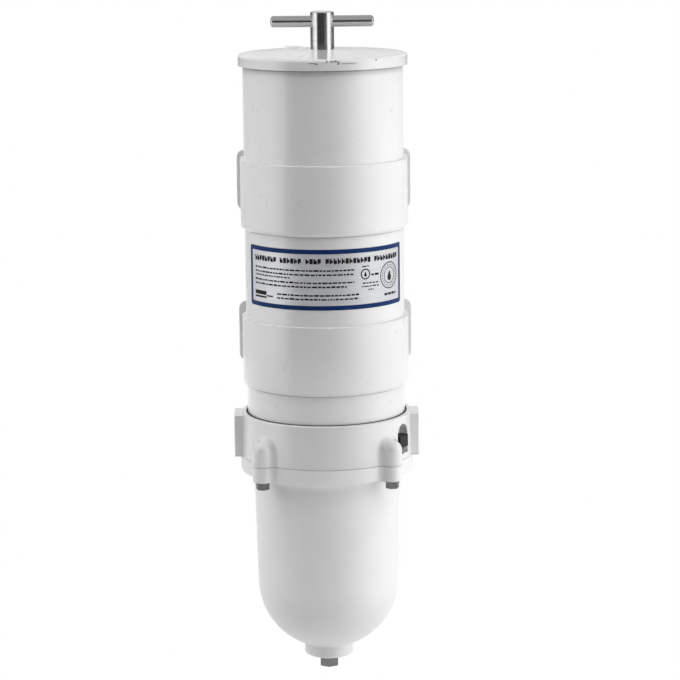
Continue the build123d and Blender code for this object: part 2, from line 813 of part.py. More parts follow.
pleat_outer_r = element_r - cap_rim_wall - seat_gap
with BuildPart() as element_media:
    with BuildSketch(level(element_bottom_z + cap_plate)):
        for tip_r, root_r, sketch_mode in (
            (pleat_outer_r, pleat_inner_r + pleat_fold, Mode.ADD),
            (pleat_outer_r - pleat_fold, pleat_inner_r, Mode.SUBTRACT),
        ):
            with BuildLine():
                Polyline(
                    *[
                        (radius * cos(angle), radius * sin(angle))
                        for index in range(pleat_count)
                        for radius, angle in (
                            (tip_r, 2 * pi * index / pleat_count),
                            (root_r, 2 * pi * (index + 0.5) / pleat_count),
                        )
                    ],
                    close=True,
                )
            make_face(mode=sketch_mode)
    extrude(amount=element_top_z - element_bottom_z - 2 * cap_plate)
element_media.part.label = "element_media"
export_step(element_media.part, "parts/element_media.step")

core_height = element_top_z - element_bottom_z - 2 * cap_plate
core_rows = int((core_height - core_slot_height) // core_slot_pitch)
with BuildPart() as element_core:
    with BuildSketch(level(element_bottom_z + cap_plate)):
        Circle(core_r)
        Circle(core_r - core_wall, mode=Mode.SUBTRACT)
    extrude(amount=core_height)
    core_middle_z = (element_top_z + element_bottom_z) / 2
    column_angles = [360 * column / core_columns for column in range(core_columns)]
    slot_planes = [outward_face(angle, 0, core_middle_z) for angle in column_angles]
    with BuildSketch(*slot_planes):
        with GridLocations(1, core_slot_pitch, 1, core_rows):
            Rectangle(core_slot_width, core_slot_height)
    extrude(amount=core_r + overcut, mode=Mode.SUBTRACT)
element_core.part.label = "element_core"
export_step(element_core.part, "parts/element_core.step")


for grommet_name, plate_low_z in (
    ("element_bottom_grommet", element_bottom_z),
    ("element_top_grommet", element_top_z - cap_plate),
):
    with BuildPart() as grommet:
        with BuildSketch(section):
            with BuildLine():
                Polyline(
                    (return_tube_r + seat_gap, plate_low_z - grommet_lip),
                    (grommet_reach, plate_low_z - grommet_lip),
                    (grommet_reach, plate_low_z),
                    (grommet_neck_r, plate_low_z),
                    (grommet_neck_r, plate_low_z + cap_plate),
                    (grommet_reach, plate_low_z + cap_plate),
                    (grommet_reach, plate_low_z + cap_plate + grommet_lip),
                    (return_tube_r + seat_gap, plate_low_z + cap_plate + grommet_lip),
                    close=True,
                )
            make_face()
        revolve(axis=spin)
    grommet.part.label = grommet_name
    export_step(grommet.part, f"parts/{grommet_name}.step")

bail_plane = level(element_top_z + bail_rise)
bail_pin_end = ear_x + bail_ear_thickness / 2 + bail_pin_reach
bail_bend_r = bail_wire_r + bail_ear_gap
with BuildPart() as element_bail:
    with BuildLine(bail_plane):
        Line((-bail_pin_end, 0), (-bail_loop_r - bail_bend_r, 0))
        CenterArc((-bail_loop_r - bail_bend_r, -bail_bend_r), bail_bend_r, 90, -90)
        CenterArc((0, -bail_bend_r), bail_loop_r, 180, 180)
        CenterArc((bail_loop_r + bail_bend_r, -bail_bend_r), bail_bend_r, 180, -90)
        Line((bail_loop_r + bail_bend_r, 0), (bail_pin_end, 0))
    with BuildSketch(Plane(origin=bail_plane.from_local_coords((-bail_pin_end, 0, 0)), z_dir=(1, 0, 0))):
        Circle(bail_wire_r)
    sweep()
element_bail.part.label = "element_bail"
export_step(element_bail.part, "parts/element_bail.step")


# Turbine: hub, base plate and swept vanes that set the fuel spinning
vane_outer_r = turbine_r - vane_edge_inset - vane_thickness / 2
vane_middle_r = (vane_inner_r + vane_outer_r) / 2
vane_line = ThreePointArc(
    polar(vane_inner_r, 0), polar(vane_middle_r, vane_sweep * vane_bulge), polar(vane_outer_r, vane_sweep)
)
turbine_base_z = turbine_seat_z - vane_height
with BuildPart() as turbine:
    with BuildSketch(level(turbine_base_z)):
        Circle(turbine_r)
    extrude(amount=-turbine_plate)
    fillet(turbine.edges().group_by(Axis.Z)[0], min(turbine_edge_r, edge_limit * turbine_plate))
    with BuildSketch(level(turbine_base_z)):
        Circle(turbine_hub_r)
        with PolarLocations(0, vane_count):
            SlotArc(vane_line.edge(), vane_thickness)
    extrude(amount=vane_height)
    with BuildSketch(level(turbine_seat_z)):
        Circle(turbine_bolt_r + bolt_hole_clearance)
    extrude(amount=-(vane_height + turbine_plate), mode=Mode.SUBTRACT)
turbine.part.label = "turbine"
export_step(turbine.part, "parts/turbine.step")


# Baffle cone: thin skirt under the turbine that shields the settled water
cone_top_z = turbine_base_z - turbine_plate
with BuildPart() as baffle_cone:
    with BuildSketch(section):
        with BuildLine():
            Polyline(
                (turbine_bolt_r + bolt_hole_clearance, cone_top_z),
                (cone_collar_r, cone_top_z),
                (cone_r, cone_top_z - cone_drop),
                (cone_r, cone_top_z - cone_drop - cone_sheet),
                (cone_collar_r, cone_top_z - cone_collar_height),
                (turbine_bolt_r + bolt_hole_clearance, cone_top_z - cone_collar_height),
                close=True,
            )
        make_face()
    revolve(axis=spin)
baffle_cone.part.label = "baffle_cone"
export_step(baffle_cone.part, "parts/baffle_cone.step")


# Turbine bolt: hex bolt through the cone and the turbine into the head
turbine_bolt_seat_z = cone_top_z - cone_collar_height
with BuildPart() as turbine_bolt:
    with BuildSketch(level(turbine_bolt_seat_z)):
        RegularPolygon(turbine_bolt_flats / 2, 6, major_radius=False)
    extrude(amount=-turbine_bolt_head)
    with BuildSketch(level(turbine_bolt_seat_z)):
        Circle(turbine_bolt_r)
    extrude(amount=turbine_seat_z + turbine_bolt_engagement - turbine_bolt_seat_z)
turbine_bolt.part.label = "turbine_bolt"
export_step(turbine_bolt.part, "parts/turbine_bolt.step")


# Bowl: flange with four bolt bosses, a slightly tapered wall, a round end and a drain neck
wall_drop = flange_bottom_z - bowl_end_z
end_centre_z = bowl_end_z + bowl_end_r * bowl_taper / wall_drop
end_sphere_r = sqrt(bowl_end_r**2 + (end_centre_z - bowl_end_z) ** 2)
inner_sphere_r = end_sphere_r - bowl_wall
neck_root_z = end_centre_z - sqrt(end_sphere_r**2 - neck_r**2)
gasket_groove_r = flange_r - bowl_gasket_inset
bowl_arc = radians(bowl_arc_angle)
with BuildPart() as bowl:
    with BuildSketch(section):
        with BuildLine():
            Polyline(
                (0, parting_z),
                (flange_r, parting_z),
                (flange_r, flange_bottom_z),
                (bowl_r, flange_bottom_z),
                (bowl_end_r, bowl_end_z),
            )
            ThreePointArc(
                (bowl_end_r, bowl_end_z),
                (end_sphere_r * sin(bowl_arc), end_centre_z - end_sphere_r * cos(bowl_arc)),
                (neck_r, neck_root_z),
            )
            Polyline((neck_r, neck_root_z), (neck_r, neck_bottom_z), (0, neck_bottom_z), (0, parting_z))
        make_face()
    revolve(axis=spin)
    rims = bowl.edges().filter_by(GeomType.CIRCLE)
    flange_rims = rims.filter_by_position(Axis.Z, flange_bottom_z - on_plane, flange_bottom_z + on_plane)
    root_room = bolt_circle_r - washer_r - bowl_r - seat_gap
    fillet(flange_rims.sort_by(SortBy.RADIUS)[0], min(flange_root_r, edge_limit * bowl_inset, root_room))
    fillet(bowl.edges().filter_by(GeomType.CIRCLE).group_by(Axis.Z)[0], neck_edge_r)
    rims = bowl.edges().filter_by(GeomType.CIRCLE)
    fillet(rims.filter_by_position(Axis.Z, neck_root_z - on_plane, neck_root_z + on_plane), neck_fillet_r)
    with BuildSketch(level(parting_z)):
        with PolarLocations(bolt_circle_r, bolt_count, bolt_start_angle):
            Circle(boss_r)
    extrude(amount=flange_bottom_z - parting_z)
    boss_seams = bowl.edges().filter_by(Axis.Z).filter_by(lambda edge: abs(reach(edge) - flange_r) < on_plane)
    fillet(boss_seams, boss_fillet_r)
    flange_face = bowl.faces().filter_by(GeomType.PLANE).filter_by_position(
        Axis.Z, flange_bottom_z - on_plane, flange_bottom_z + on_plane
    )
    fillet(flange_face[0].outer_wire().edges(), flange_edge_r)
    fillet(bowl.faces().sort_by(Axis.Z)[-1].outer_wire().edges(), parting_edge_r)
    with BuildSketch(section):
        with BuildLine():
            Polyline((0, end_centre_z - inner_sphere_r), (0, parting_z), (bowl_r - bowl_wall, parting_z))
            Line((bowl_r - bowl_wall, parting_z), (bowl_end_r - bowl_wall, bowl_end_z))
            ThreePointArc(
                (bowl_end_r - bowl_wall, bowl_end_z),
                (inner_sphere_r * sin(bowl_arc), end_centre_z - inner_sphere_r * cos(bowl_arc)),
                (0, end_centre_z - inner_sphere_r),
            )
        make_face()
    revolve(axis=spin, mode=Mode.SUBTRACT)
    with BuildSketch(level(parting_z)):
        Circle(gasket_groove_r)
        Circle(gasket_groove_r - bowl_gasket_width, mode=Mode.SUBTRACT)
    extrude(amount=-bowl_gasket_height, mode=Mode.SUBTRACT)
    with BuildSketch(level(parting_z)):
        with PolarLocations(bolt_circle_r, bolt_count, bolt_start_angle):
            Circle(bolt_r + bolt_hole_clearance)
    extrude(amount=flange_bottom_z - parting_z, mode=Mode.SUBTRACT)
    with BuildSketch(level(neck_bottom_z)):
        Circle(drain_thread_r + thread_clearance)
    extrude(amount=end_centre_z - inner_sphere_r + overcut - neck_bottom_z, mode=Mode.SUBTRACT)
bowl.part.label = "bowl"
export_step(bowl.part, "parts/bowl.step")


# Bowl gasket: square ring in the flange's groove
with BuildPart() as bowl_gasket:
    with BuildSketch(level(parting_z)):
        Circle(gasket_groove_r - seat_gap)
        Circle(gasket_groove_r - bowl_gasket_width + seat_gap, mode=Mode.SUBTRACT)
    extrude(amount=-bowl_gasket_height)
bowl_gasket.part.label = "bowl_gasket"
export_step(bowl_gasket.part, "parts/bowl_gasket.step")


# Bowl washers
with BuildPart() as bowl_washers:
    with BuildSketch(level(flange_bottom_z)):
        with PolarLocations(bolt_circle_r, bolt_count, bolt_start_angle):
            Circle(washer_r)
            Circle(bolt_r + bolt_hole_clearance, mode=Mode.SUBTRACT)
    extrude(amount=-washer_thickness)
bowl_washers.part.label = "bowl_washers"
export_step(bowl_washers.part, "parts/bowl_washers.step")


# Bowl bolts: four hex bolts from below
bolt_head_z = flange_bottom_z - washer_thickness
with BuildPart() as bowl_bolts:
    with BuildSketch(level(bolt_head_z)):
        with PolarLocations(bolt_circle_r, bolt_count, bolt_start_angle):
            RegularPolygon(bolt_flats / 2, 6, major_radius=False)
    extrude(amount=-bolt_head)
    chamfer(bowl_bolts.edges().group_by(Axis.Z)[0], bolt_chamfer)
    with BuildSketch(level(bolt_head_z)):
        with PolarLocations(bolt_circle_r, bolt_count, bolt_start_angle):
            Circle(bolt_r)
    extrude(amount=parting_z + bolt_engagement - bolt_head_z)
bowl_bolts.part.label = "bowl_bolts"
export_step(bowl_bolts.part, "parts/bowl_bolts.step")


# Drain seal: washer between the neck and the plug
with BuildPart() as drain_seal:
    with BuildSketch(level(neck_bottom_z)):
        Circle(drain_seal_r)
        Circle(drain_thread_r + thread_clearance, mode=Mode.SUBTRACT)
    extrude(amount=-drain_seal_thickness)
drain_seal.part.label = "drain_seal"
export_step(drain_seal.part, "parts/drain_seal.step")


# Drain plug: hex plug with a threaded stud in the neck
plug_top_z = neck_bottom_z - drain_seal_thickness
with BuildPart() as drain_plug:
    with BuildSketch(level(plug_top_z)):
        RegularPolygon(drain_flats / 2, 6, major_radius=False, rotation=drain_corner_angle)
    extrude(amount=-drain_head)
    chamfer(drain_plug.edges().group_by(Axis.Z)[0], drain_chamfer)
    with BuildSketch(level(plug_top_z)):
        Circle(drain_thread_r)
    extrude(amount=drain_seal_thickness + drain_thread_length)
    chamfer(drain_plug.edges().group_by(Axis.Z)[-1], drain_chamfer)
drain_plug.part.label = "drain_plug"
export_step(drain_plug.part, "parts/drain_plug.step")
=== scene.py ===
import random
from math import cos, pi, radians, sin

import bmesh
import bpy
from mathutils import Matrix, Vector


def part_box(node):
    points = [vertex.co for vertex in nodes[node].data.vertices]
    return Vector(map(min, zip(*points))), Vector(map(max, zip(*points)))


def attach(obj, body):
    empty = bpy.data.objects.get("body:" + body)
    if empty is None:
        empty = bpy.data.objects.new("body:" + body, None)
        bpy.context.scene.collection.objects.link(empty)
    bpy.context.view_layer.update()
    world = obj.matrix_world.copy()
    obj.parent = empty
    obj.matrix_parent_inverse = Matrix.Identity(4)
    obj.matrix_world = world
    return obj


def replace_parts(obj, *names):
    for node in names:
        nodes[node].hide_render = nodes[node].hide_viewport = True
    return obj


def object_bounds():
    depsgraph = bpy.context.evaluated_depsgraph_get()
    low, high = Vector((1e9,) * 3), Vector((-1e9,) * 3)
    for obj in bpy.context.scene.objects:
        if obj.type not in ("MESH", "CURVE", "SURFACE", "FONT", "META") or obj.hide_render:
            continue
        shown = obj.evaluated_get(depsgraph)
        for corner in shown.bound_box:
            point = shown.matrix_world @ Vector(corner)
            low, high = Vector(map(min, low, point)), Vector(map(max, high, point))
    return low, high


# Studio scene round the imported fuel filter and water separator. Lengths are in metres.
# +Z is up, the bulkhead is at +Y, and angles round the filter go from the front towards +X.

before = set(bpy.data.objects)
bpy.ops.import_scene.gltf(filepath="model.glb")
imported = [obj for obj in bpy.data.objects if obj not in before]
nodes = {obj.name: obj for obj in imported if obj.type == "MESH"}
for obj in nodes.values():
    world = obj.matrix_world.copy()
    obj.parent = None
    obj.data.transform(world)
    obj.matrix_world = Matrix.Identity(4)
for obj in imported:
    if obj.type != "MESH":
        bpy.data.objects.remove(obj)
cad_low, cad_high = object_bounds()
mm = 0.001

# Places and radii taken from the frame
tube_low, tube_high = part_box("upper_housing")
label_low, label_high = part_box("label")
lid_low, lid_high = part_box("lid")
stem_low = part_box("t_handle_stem")[0]
plug_low, plug_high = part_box("drain_plug")
head_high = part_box("head")[1]
axis_y = (tube_low.y + tube_high.y) / 2
tube_r = (tube_high.x - tube_low.x) / 2
lid_r = (lid_high.x - lid_low.x) / 2
label_r = axis_y - label_low.y
label_middle_z = (label_low.z + label_high.z) / 2
label_half_height = (label_high.z - label_low.z) / 2


def around(angle, radius, z):
    """Point at an angle in radians from the front towards +X, at a radius from the filter's axis."""
    return Vector((radius * sin(angle), axis_y - radius * cos(angle), z))


# Meshes


def add_mesh(name, points, faces, smooth=True):
    """New mesh object in the row frame, with its faces' normals turned outwards."""
    data = bpy.data.meshes.new(name)
    data.from_pydata([tuple(point) for point in points], [], faces)
    shape = bmesh.new()
    shape.from_mesh(data)
    bmesh.ops.recalc_face_normals(shape, faces=shape.faces)
    shape.to_mesh(data)
    shape.free()
    for face in data.polygons:
        face.use_smooth = smooth
    piece = bpy.data.objects.new(name, data)
    bpy.context.scene.collection.objects.link(piece)
    return piece


def paint(piece, material):
    """Gives a piece one material."""
    piece.data.materials.clear()
    piece.data.materials.append(material)


# Shader nodes


def new_material(name):
    """New node material. Returns it with its tree and its shader."""
    material = bpy.data.materials.new(name)
    material.use_nodes = True
    tree = material.node_tree
    shader = tree.nodes["Principled BSDF"]
    return material, tree, shader


def add_node(tree, kind, inputs, **settings):
    """Shader node with its settings, and its inputs set to values or linked to sockets."""
    made = tree.nodes.new("ShaderNode" + kind)
    for setting, value in settings.items():
        setattr(made, setting, value)
    for key, value in inputs.items():
        if isinstance(value, bpy.types.NodeSocket):
            tree.links.new(value, made.inputs[key])
        else:
            made.inputs[key].default_value = value
    return made


def row_place(tree):
    """Row-frame coordinates."""
    return add_node(tree, "TexCoord", {}).outputs["Object"]


def along_axis(tree, vector, axis):
    """One coordinate of a vector."""
    return add_node(tree, "SeparateXYZ", {"Vector": vector}).outputs[axis]


def length_of(tree, vector):
    """Length of a vector."""
    return add_node(tree, "VectorMath", {0: vector}, operation="LENGTH").outputs["Value"]


def stretched_place(tree, stretch, shift=(0, 0, 0)):
    """Row-frame coordinates, stretched along each axis and then shifted."""
    inputs = {"Vector": row_place(tree), "Scale": stretch, "Location": shift}
    return add_node(tree, "Mapping", inputs).outputs["Vector"]


def noise(tree, size, detail=2.0, roughness=0.5, stretch=(1, 1, 1)):
    """Noise from 0 to 1 whose features are about as large as size."""
    inputs = {
        "Vector": stretched_place(tree, stretch),
        "Scale": 1 / size,
        "Detail": detail,
        "Roughness": roughness,
    }
    return add_node(tree, "TexNoise", inputs).outputs["Fac"]


def spread(tree, value, low, high, to_low=0.0, to_high=1.0):
    """Value moved from low..high to to_low..to_high, and held there."""
    inputs = {"Value": value, "From Min": low, "From Max": high, "To Min": to_low, "To Max": to_high}
    return add_node(tree, "MapRange", inputs).outputs["Result"]


def mix(tree, fraction, first, second):
    """Colour between two colours. The node's colour sockets have no names of their own, only numbers."""
    return add_node(tree, "Mix", {0: fraction, 6: first, 7: second}, data_type="RGBA").outputs[2]


def maths(tree, operation, first, second=0.0):
    """Result of one maths operation."""
    return add_node(tree, "Math", {0: first, 1: second}, operation=operation).outputs["Value"]


def bump(tree, height, distance, below=None, strength=1.0):
    """Bumped normal, on top of another one if that is given."""
    inputs = {"Height": height, "Distance": distance, "Strength": strength}
    if below is not None:
        inputs["Normal"] = below
    return add_node(tree, "Bump", inputs).outputs["Normal"]


def grey(level):
    """Opaque grey."""
    return (level, level, level, 1.0)


def set_look(tree, shader, colour, roughness, normal):
    """Links a surface's colour, roughness and bumped normal to its shader."""
    tree.links.new(colour, shader.inputs["Base Color"])
    tree.links.new(roughness, shader.inputs["Roughness"])
    tree.links.new(normal, shader.inputs["Normal"])


# Materials

# Colour of the darkening at the joints: grime, and painted shade under overhangs
grime_and_shade_colour = (0.07, 0.068, 0.064, 1)
bare_roughness = grey(0.5)
paint_ior = 1.6


def enamel_material(name, peel, peel_size, roughness, coat_roughness, joints=(), chips=False, tone=0.85):
    """White gloss enamel: slightly uneven in colour and gloss, with orange peel and dust in the paint, and darker
    at the joints, partly from grime and partly from painted shade. The paint may be chipped."""
    material, tree, shader = new_material(name)
    cloud = noise(tree, 0.05, 3.0)
    colour = mix(tree, spread(tree, cloud, 0.3, 0.7), grey(tone - 0.02), grey(tone + 0.02))
    gloss = spread(tree, noise(tree, 0.012, 4.0, 0.6), 0.25, 0.75, roughness * 0.85, roughness * 1.2)
    dust = spread(tree, noise(tree, 0.0011, 1.0), 0.70, 0.76)
    normal = bump(tree, noise(tree, peel_size, 2.0, 0.45), peel)
    normal = bump(tree, dust, peel * 0.5, normal, 0.15)
    # Darkening at the joints: grime with painted shade. It also dulls the gloss and takes off the coat
    bare = joint_dirt_and_shade(tree, joints)
    colour = mix(tree, bare, colour, grime_and_shade_colour)
    if chips:
        mask = chip_mask(tree)
        colour = mix(tree, mask, colour, chip_colour)
        normal = bump(tree, mask, -chip_depth, normal)
        bare = maths(tree, "MAXIMUM", bare, mask)
    gloss = mix(tree, bare, gloss, bare_roughness)
    tree.links.new(spread(tree, bare, 0.0, 1.0, 1.0, 0.0), shader.inputs["Coat Weight"])
    set_look(tree, shader, colour, gloss, normal)
    shader.inputs["Coat Roughness"].default_value = coat_roughness
    shader.inputs["Coat IOR"].default_value = paint_ior
    return material


def joint_dirt_and_shade(tree, joints):
    """How thick the darkening lies at the joints. It is partly grime in the joints and partly painted shade under
    the parts that overhang them. Each joint is a height, how far its darkening reaches below it, or above it where
    that is negative, how thick it is there, and the radius that it stays within."""
    edge = 0.2 * mm
    height = along_axis(tree, row_place(tree), "Z")
    ragged = maths(tree, "SUBTRACT", noise(tree, 3.0 * mm, 4.0, 0.7), 0.5)
    ragged = maths(tree, "ADD", height, maths(tree, "MULTIPLY", ragged, 1.2 * mm))
    away = length_of(tree, stretched_place(tree, (1, 1, 0), (0, -axis_y, 0)))
    dirt_and_shade = 0.0
    for joint_z, reach, thickness, within in joints:
        side = edge if reach > 0 else -edge
        thick = spread(tree, ragged, joint_z - reach, joint_z, 0.0, thickness)
        thick = maths(tree, "MULTIPLY", thick, spread(tree, height, joint_z + side, joint_z + 2 * side, 1.0, 0.0))
        thick = maths(tree, "MULTIPLY", thick, spread(tree, away, within, within + edge, 1.0, 0.0))
        dirt_and_shade = maths(tree, "MAXIMUM", dirt_and_shade, thick)
    return dirt_and_shade


# Paint chips on the lid's front edge, in mm: x, height from chip_z, and half size across and up
chip_colour = (0.27, 0.273, 0.277, 1)
chip_depth = 0.12 * mm
chip_z = lid_high.z - 5.7 * mm
paint_chips = (
    (-8.0, -0.6, 3.4, 0.5),
    (-5.2, -1.1, 1.3, 0.6),
    (3.2, 0.7, 0.8, 1.0),
    (7.4, 0.8, 2.0, 0.7),
    (10.2, 1.0, 1.3, 0.9),
    (12.3, -0.4, 0.9, 1.6),
    (20.5, -1.0, 7.0, 0.3),
    (43.0, 0.8, 0.8, 0.8),
)


def chip_mask(tree):
    """1 where the paint has chipped off the lid's front edge, with ragged borders."""
    ragged = maths(tree, "MULTIPLY", noise(tree, 1.1 * mm, 3.0, 0.7), 1.1)
    behind = along_axis(tree, row_place(tree), "Y")
    in_front = spread(tree, behind, axis_y - 0.5 * lid_r, axis_y - 0.6 * lid_r)
    whole, bare = 1.65, 1.4
    mask = 0.0
    for x, rise, half_x, half_z in paint_chips:
        stretch = (1 / (half_x * mm), 0, 1 / (half_z * mm))
        shift = (-x / half_x, 0, -(chip_z + rise * mm) / (half_z * mm))
        reach = length_of(tree, stretched_place(tree, stretch, shift))
        inside = spread(tree, maths(tree, "ADD", reach, ragged), whole, bare)
        mask = maths(tree, "MAXIMUM", mask, inside)
    return maths(tree, "MULTIPLY", mask, in_front)


def foil_material():
    """Brushed label foil: fine level strokes, and a slight cloudiness."""
    material, tree, shader = new_material("label_foil")
    strokes = noise(tree, 0.0009, 3.0, 0.6, (0.04, 0.04, 1))
    colour = mix(tree, spread(tree, strokes, 0.3, 0.7), (0.60, 0.61, 0.625, 1), (0.72, 0.73, 0.745, 1))
    roughness = spread(tree, strokes, 0.3, 0.7, 0.3, 0.45)
    set_look(tree, shader, colour, roughness, bump(tree, strokes, 0.00002))
    shader.inputs["Metallic"].default_value = 0.6
    return material


def ink_material(name, dark, light):
    """Printing ink: a little uneven where it lies on the foil's strokes."""
    material, tree, shader = new_material(name)
    patch = noise(tree, 0.004, 4.0, 0.6)
    colour = mix(tree, spread(tree, patch, 0.3, 0.7), dark, light)
    roughness = spread(tree, patch, 0.3, 0.7, 0.35, 0.5)
    set_look(tree, shader, colour, roughness, bump(tree, noise(tree, 0.0006), 0.00001))
    shader.inputs["Specular IOR Level"].default_value = 0.15
    return material


def darker(colour, share):
    """Colour at a share of its brightness."""
    return tuple(channel * share for channel in colour[:3]) + (1.0,)


def metal_material(name, colour, roughness, grain_size, grain, stretch=(1, 1, 1), spots=0.0):
    """Bare or plated metal with machining marks along one direction and dull spots."""
    material, tree, shader = new_material(name)
    marks = noise(tree, grain_size, 3.0, 0.6, stretch)
    spot = spread(tree, noise(tree, 0.004, 4.0, 0.65), 0.5, 0.68, 0.0, spots)
    shade = mix(tree, spread(tree, marks, 0.3, 0.7), darker(colour, 0.93), colour)
    gloss = spread(tree, marks, 0.3, 0.7, roughness * 0.8, roughness * 1.25)
    set_look(tree, shader, mix(tree, spot, shade, darker(colour, 0.55)), gloss, bump(tree, marks, grain))
    shader.inputs["Metallic"].default_value = 1.0
    return material


def rubber_material():
    """Moulded nitrile rubber with a dusty bloom."""
    material, tree, shader = new_material("black_rubber")
    bloom = spread(tree, noise(tree, 0.006, 5.0, 0.6), 0.45, 0.75)
    colour = mix(tree, bloom, (0.012, 0.012, 0.013, 1), (0.035, 0.034, 0.033, 1))
    roughness = spread(tree, bloom, 0.0, 1.0, 0.5, 0.75)
    set_look(tree, shader, colour, roughness, bump(tree, noise(tree, 0.0007, 2.0), 0.00005))
    shader.inputs["Specular IOR Level"].default_value = 0.15
    return material


def paper_material():
    """Resin-treated filter paper: fibres, small dimples and resin patches."""
    material, tree, shader = new_material("pleated_paper")
    fibre = noise(tree, 0.0008, 6.0, 0.7, (1, 1, 0.4))
    patch = spread(tree, noise(tree, 0.02, 3.0), 0.35, 0.7)
    base = mix(tree, spread(tree, fibre, 0.3, 0.7), (0.60, 0.50, 0.32, 1), (0.75, 0.66, 0.48, 1))
    colour = mix(tree, maths(tree, "MULTIPLY", patch, 0.3), base, (0.55, 0.42, 0.22, 1))
    roughness = spread(tree, fibre, 0.3, 0.7, 0.75, 0.95)
    set_look(tree, shader, colour, roughness, bump(tree, fibre, 0.00015))
    return material


def paint_material(name, dark, light, roughness, bump_size, bump_height, shine=0.5):
    """Plain painted or moulded surface with a fine grain."""
    material, tree, shader = new_material(name)
    patch = noise(tree, 0.01, 4.0, 0.6)
    colour = mix(tree, spread(tree, patch, 0.3, 0.7), dark, light)
    gloss = spread(tree, patch, 0.3, 0.7, roughness * 0.85, roughness * 1.2)
    set_look(tree, shader, colour, gloss, bump(tree, noise(tree, bump_size, 2.0), bump_height))
    shader.inputs["Specular IOR Level"].default_value = shine
    return material


# Darkening at the joints, partly grime and partly painted shade under the lid, the bands and the casting's rim:
# height, reach, thickness from 0 to 1, and the radius that it stays within
parting_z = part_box("bowl")[1].z
at_tube = tube_r + 0.5 * mm
anywhere = 1.0
tube_joints = (
    # Under the lid: a wide band of painted shade from the lid's overhang, and a thin dark line of grime and
    # painted shade. Under the bands: thin lines of grime and painted shade
    (lid_low.z, 5.0 * mm, 0.35, at_tube),
    (lid_low.z, 0.9 * mm, 0.85, at_tube),
    (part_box("upper_band")[0].z, 0.9 * mm, 0.7, at_tube),
    (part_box("lower_band")[0].z, 0.9 * mm, 0.6, at_tube),
)
# The lid's lowest edge and the casting's parting line: thin dark lines of grime and painted shade
lid_joints = ((lid_low.z, -0.9 * mm, 0.8, anywhere),)
head_joints = ((parting_z, -0.8 * mm, 0.5, anywhere),)
bowl_joints = ((parting_z, 0.6 * mm, 0.4, anywhere),)

# Finishes of the material slots: enamel gives its peel, peel size, roughness and coat roughness,
# metal its colour, roughness, grain size and grain, and paint its colours, roughness, bump size and bump
enamel = enamel_material("enamel", 0.00002, 0.003, 0.3, 0.08, tube_joints)
# The bowl's enamel has a lighter tone than the other enamels: painted light for the light thrown up onto the bowl
# from the floor below
bowl_enamel = enamel_material("bowl_enamel", 0.00003, 0.004, 0.6, 0.4, bowl_joints, tone=0.9)
label_foil = foil_material()
polished_steel = metal_material(
    "polished_steel", (0.72, 0.72, 0.73, 1), 0.13, 0.0009, 0.000006, stretch=(0.1, 0.1, 1), spots=0.25
)
dark_zinc = metal_material("dark_zinc", (0.22, 0.22, 0.225, 1), 0.38, 0.0012, 0.00003, spots=0.5)
zinc_steel = metal_material("zinc_steel", (0.60, 0.60, 0.61, 1), 0.3, 0.001, 0.00002, spots=0.35)
black_steel = paint_material(
    "black_steel", (0.006, 0.006, 0.007, 1), (0.014, 0.014, 0.015, 1), 0.45, 0.0009, 0.00003, shine=0.2
)
black_rubber = rubber_material()
brass = metal_material("brass", (0.72, 0.50, 0.20, 1), 0.24, 0.0006, 0.00001, stretch=(1, 1, 4))
ball_steel = metal_material("ball_steel", (0.70, 0.70, 0.72, 1), 0.08, 0.0008, 0.000003)
element_caps = paint_material("element_caps", (0.06, 0.075, 0.09, 1), (0.10, 0.12, 0.14, 1), 0.45, 0.0015, 0.00004)
pleated_paper = paper_material()
moulded_plastic = paint_material(
    "moulded_plastic", (0.03, 0.03, 0.033, 1), (0.055, 0.055, 0.06, 1), 0.4, 0.0012, 0.00005
)
slot_materials = (
    enamel,
    bowl_enamel,
    label_foil,
    polished_steel,
    dark_zinc,
    zinc_steel,
    black_steel,
    black_rubber,
    brass,
    ball_steel,
    element_caps,
    pleated_paper,
    moulded_plastic,
)


def slot_of(material):
    """Name of a material without the number that Blender adds where the name was taken."""
    return material.name.split(".")[0]


materials = {slot_of(material): material for material in slot_materials}

# Finishes of single pieces
bar_steel = metal_material("bar_steel", (0.52, 0.52, 0.53, 1), 0.16, 0.0005, 0.000006, stretch=(0.05, 1, 1))
# Steel of the drain plug, darker than its plating: painted shade for the shadow under the bowl's neck
shaded_drain_steel = metal_material("shaded_drain_steel", (0.22, 0.22, 0.225, 1), 0.4, 0.001, 0.00003, spots=0.4)
cast_enamel = enamel_material("cast_enamel", 0.00006, 0.0045, 0.32, 0.12, head_joints)
lid_enamel = enamel_material("lid_enamel", 0.00002, 0.003, 0.3, 0.06, lid_joints, chips=True)
blue_ink = ink_material("blue_ink", (0.002, 0.022, 0.105, 1), (0.003, 0.034, 0.15, 1))
black_ink = ink_material("black_ink", (0.004, 0.004, 0.005, 1), (0.012, 0.012, 0.013, 1))

for node in nodes.values():
    for slot in node.material_slots:
        slot.material = materials[slot_of(slot.material)]
nodes["head"].material_slots[0].material = cast_enamel
nodes["lid"].material_slots[0].material = lid_enamel
nodes["t_handle_bar"].material_slots[0].material = bar_steel


# Threads

thread_steps_per_pitch = 8
sharp_angle = radians(32)
face_gap = 0.1 * mm
drain_hex_height = 9.0 * mm

# Port threads, in the row frame
port_face_x = head_high.x
port_z = -138.1 * mm
port_r = 10.32 * mm
port_chamfer = 1.0 * mm
port_thread_length = 15.7 * mm
port_thread_depth = 0.8 * mm
port_pitch = 1.81 * mm
port_columns = 48
port_clearance = 0.05 * mm
port_sink = 0.4 * mm


def thread_profile(turn):
    """Height of a rounded 60 degree thread at a part of a turn, from 0 at the root to 1 at the crest."""
    return min(1.0, max(0.0, 1.25 - 2.5 * abs(turn - 0.5)))


def thread_wave(angle, z, pitch):
    """Height of a right-hand thread at an angle in radians round its axis and a height along it."""
    return thread_profile((z / pitch - angle / (2 * pi)) % 1.0)


